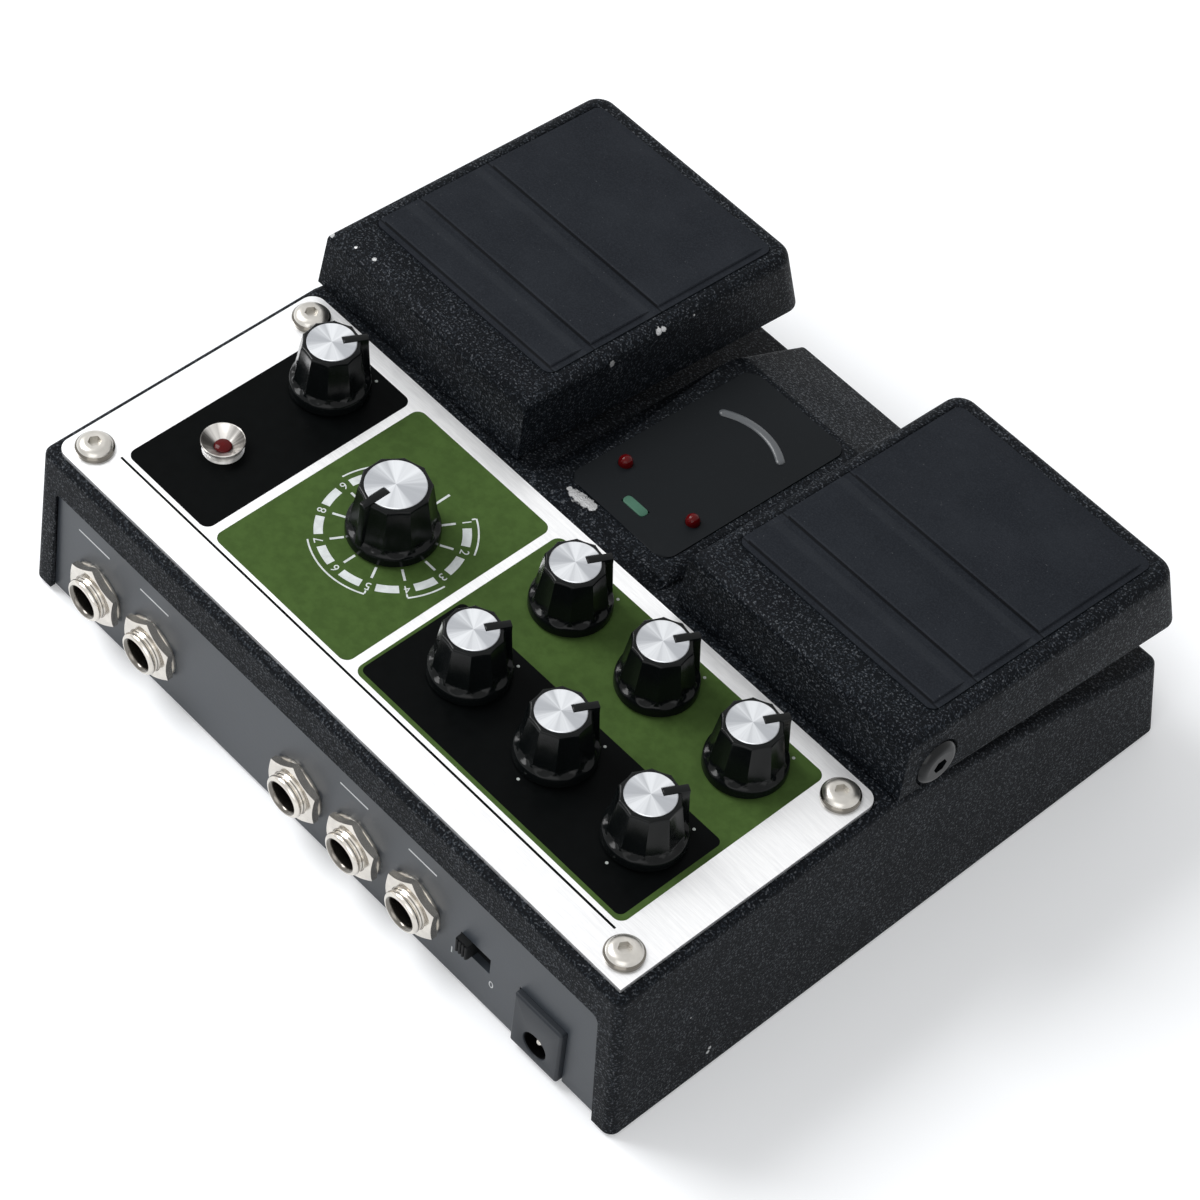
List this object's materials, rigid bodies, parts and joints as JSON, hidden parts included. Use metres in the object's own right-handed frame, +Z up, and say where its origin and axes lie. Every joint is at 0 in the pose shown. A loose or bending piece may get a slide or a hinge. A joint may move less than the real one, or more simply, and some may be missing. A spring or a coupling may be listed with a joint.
{
  "type": "tape echo pedal",
  "caption": "Wedge-shaped floor unit with two sprung foot pedals, a display island, rotary level knobs, a mode selector and rear sockets.",
  "frame": {"origin": "on the floor, under the middle of the unit's outer box", "axes": "+Z up, -Y towards the player's foot (pedals), +Y towards the rear sockets, +X to the player's right"},
  "size_m": [0.173, 0.1552, 0.057],
  "materials": {
    "casing_paint": "textured black paint",
    "tread_rubber": "matt black rubber",
    "panel_aluminium": "brushed, printed in black and green",
    "panel_grey": "satin dark grey paint",
    "dark_plastic": "fine matt black",
    "nickel": "bright nickel plate",
    "steel": "plain steel",
    "black_steel": "glossy black",
    "circuit_board": "green solder mask",
    "red_lens": "clear red",
    "green_lens": "clear green",
    "cell_wrap": "plain wrapped cells",
    "knob_gloss": "glossy black",
    "cap_aluminium": "spun disc"
  },
  "bodies": {
    "unit": {"base_plate": "panel_grey", "base_screws": "nickel", "battery_box": "dark_plastic", "battery_cells": "cell_wrap", "casing": "casing_paint", "control_board": "circuit_board", "control_plate": "panel_aluminium", "dc_socket": "dark_plastic", "display_plate": "dark_plastic", "foot_switches": "dark_plastic", "hinge_pins": "black_steel", "indicator_lamps": "red_lens", "jack_board": "circuit_board", "jack_bodies": "dark_plastic", "jack_necks": "nickel", "jack_nuts": "nickel", "jack_panel": "panel_grey", "jack_washers": "nickel", "left_spring": "steel", "lock_switch_body": "dark_plastic", "main_board": "circuit_board", "peak_bezel": "nickel", "plate_screws": "nickel", "pot_bodies": "steel", "pot_nuts": "nickel", "power_lamp": "green_lens", "right_spring": "steel", "rubber_feet": "tread_rubber", "selector_nut": "nickel", "selector_switch": "steel"},
    "right_foot_pedal": {"right_pedal": "casing_paint", "right_pad": "tread_rubber"},
    "left_foot_pedal": {"left_pedal": "casing_paint", "left_pad": "tread_rubber"},
    "bass_control": {"bass_knob": "knob_gloss", "bass_cap": "cap_aluminium", "bass_shaft": "steel"},
    "echo_control": {"echo_knob": "knob_gloss", "echo_cap": "cap_aluminium", "echo_shaft": "steel"},
    "input_control": {"input_knob": "knob_gloss", "input_cap": "cap_aluminium", "input_shaft": "steel"},
    "intensity_control": {"intensity_knob": "knob_gloss", "intensity_cap": "cap_aluminium", "intensity_shaft": "steel"},
    "rate_control": {"rate_knob": "knob_gloss", "rate_cap": "cap_aluminium", "rate_shaft": "steel"},
    "reverb_control": {"reverb_knob": "knob_gloss", "reverb_cap": "cap_aluminium", "reverb_shaft": "steel"},
    "selector_control": {"selector_knob": "knob_gloss", "selector_cap": "cap_aluminium", "selector_shaft": "steel"},
    "treble_control": {"treble_knob": "knob_gloss", "treble_cap": "cap_aluminium", "treble_shaft": "steel"},
    "lock_slider": {"lock_switch_slider": "dark_plastic"},
    "battery_lid": {"battery_door": "dark_plastic"}
  },
  "joints": [
    {"name": "right_pedal_hinge", "type": "hinge", "parent": "unit", "child": "right_foot_pedal", "pos_m": [0.0534, -0.0065, 0.0456], "axis": [1, 0, 0], "range_deg": [0, 4], "stiffness_Nm_per_rad": 3.5, "springref_deg": -4.58, "deforming": ["right_spring"]},
    {"name": "left_pedal_hinge", "type": "hinge", "parent": "unit", "child": "left_foot_pedal", "pos_m": [-0.0534, -0.0065, 0.0456], "axis": [1, 0, 0], "range_deg": [0, 4], "stiffness_Nm_per_rad": 3.5, "springref_deg": -4.58, "deforming": ["left_spring"]},
    {"name": "bass_turn", "type": "hinge", "parent": "unit", "child": "bass_control", "pos_m": [-0.0596, 0.0458, 0.0428], "axis": [0, 0, -1], "range_deg": [0, 300]},
    {"name": "echo_turn", "type": "hinge", "parent": "unit", "child": "echo_control", "pos_m": [-0.0111, 0.0201, 0.0428], "axis": [0, 0, -1], "range_deg": [0, 300]},
    {"name": "input_turn", "type": "hinge", "parent": "unit", "child": "input_control", "pos_m": [0.06, 0.0201, 0.0428], "axis": [0, 0, -1], "range_deg": [0, 300]},
    {"name": "intensity_turn", "type": "hinge", "parent": "unit", "child": "intensity_control", "pos_m": [-0.03535, 0.0201, 0.0428], "axis": [0, 0, -1], "range_deg": [0, 300]},
    {"name": "rate_turn", "type": "hinge", "parent": "unit", "child": "rate_control", "pos_m": [-0.0596, 0.0201, 0.0428], "axis": [0, 0, -1], "range_deg": [0, 300]},
    {"name": "reverb_turn", "type": "hinge", "parent": "unit", "child": "reverb_control", "pos_m": [-0.0111, 0.0458, 0.0428], "axis": [0, 0, -1], "range_deg": [0, 300]},
    {"name": "selector_turn", "type": "hinge", "parent": "unit", "child": "selector_control", "pos_m": [0.024, 0.0346, 0.0428], "axis": [0, 0, -1], "range_deg": [-150, 180]},
    {"name": "treble_turn", "type": "hinge", "parent": "unit", "child": "treble_control", "pos_m": [-0.03535, 0.0458, 0.0428], "axis": [0, 0, -1], "range_deg": [0, 300]},
    {"name": "lock_slide", "type": "slide", "parent": "unit", "child": "lock_slider", "axis": [-1, 0, 0], "range_m": [0, 0.0047]},
    {"name": "battery_lid_hinge", "type": "hinge", "parent": "unit", "child": "battery_lid", "pos_m": [0, -0.0481, 0.0009], "axis": [-1, 0, 0], "range_deg": [0, 90]}
  ]
}
